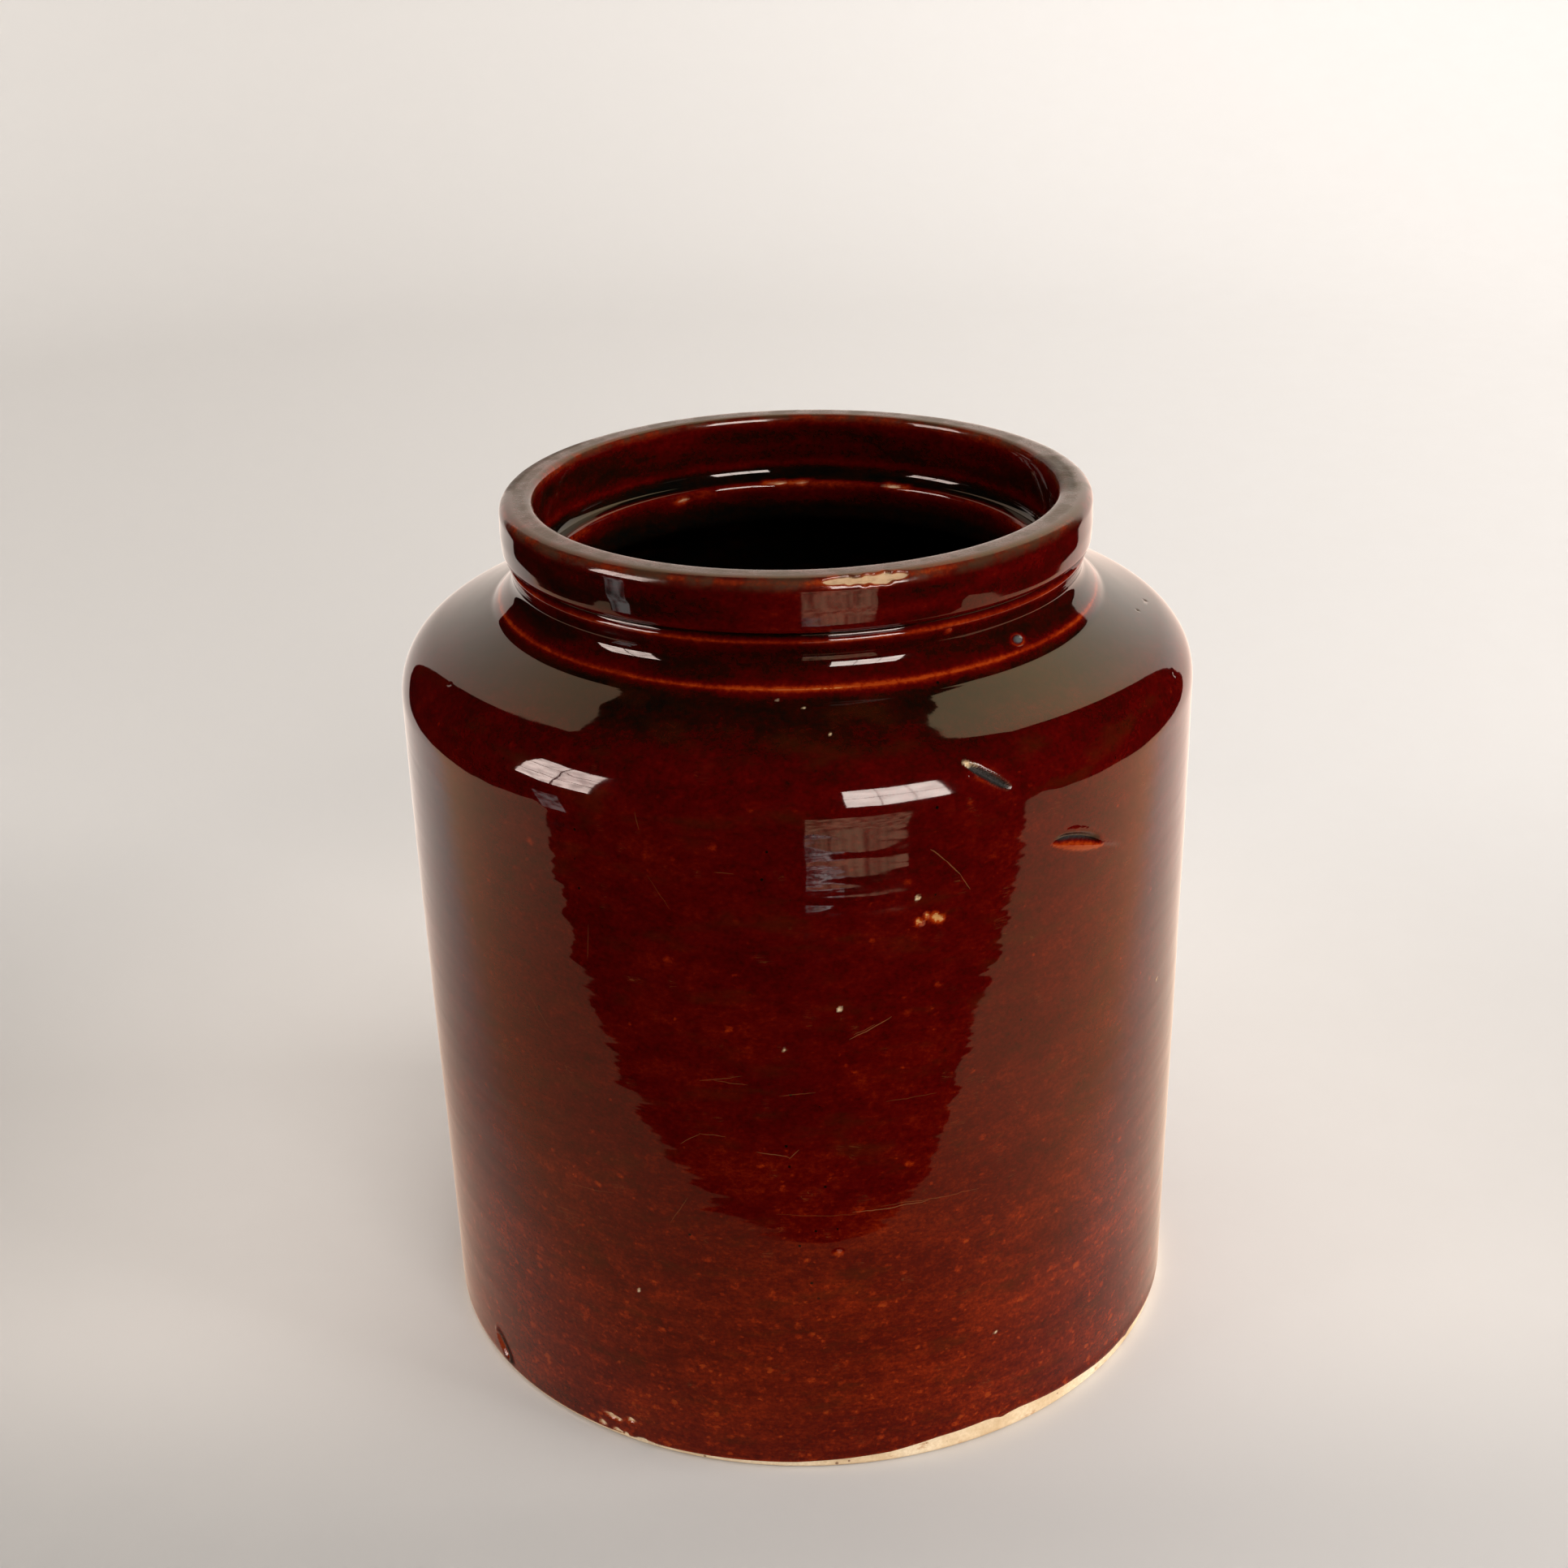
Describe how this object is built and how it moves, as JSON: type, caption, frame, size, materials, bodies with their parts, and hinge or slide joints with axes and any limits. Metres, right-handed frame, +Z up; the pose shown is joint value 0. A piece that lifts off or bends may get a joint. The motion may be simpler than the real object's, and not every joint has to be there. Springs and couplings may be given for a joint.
{
  "type": "butter crock",
  "caption": "Wide-mouthed stoneware storage jar with a brown glaze, straight sides, rounded shoulder, grooved neck and a rolled rim with an inner ledge for a lid.",
  "frame": {"origin": "centre of the flat unglazed underside", "axes": "+Z up along the turning axis, out of the mouth; the jar is a turned form, so X and Y are equivalent"},
  "size_m": [0.1782, 0.1782, 0.2],
  "materials": {
    "clay": "unglazed cream stoneware, matt and slightly gritty",
    "glaze": "glossy oxblood brown slip glaze, orange where thin and near black where thick"
  },
  "bodies": {
    "root": {"stoneware_body": "clay", "glaze_coat": "glaze"}
  },
  "joints": []
}
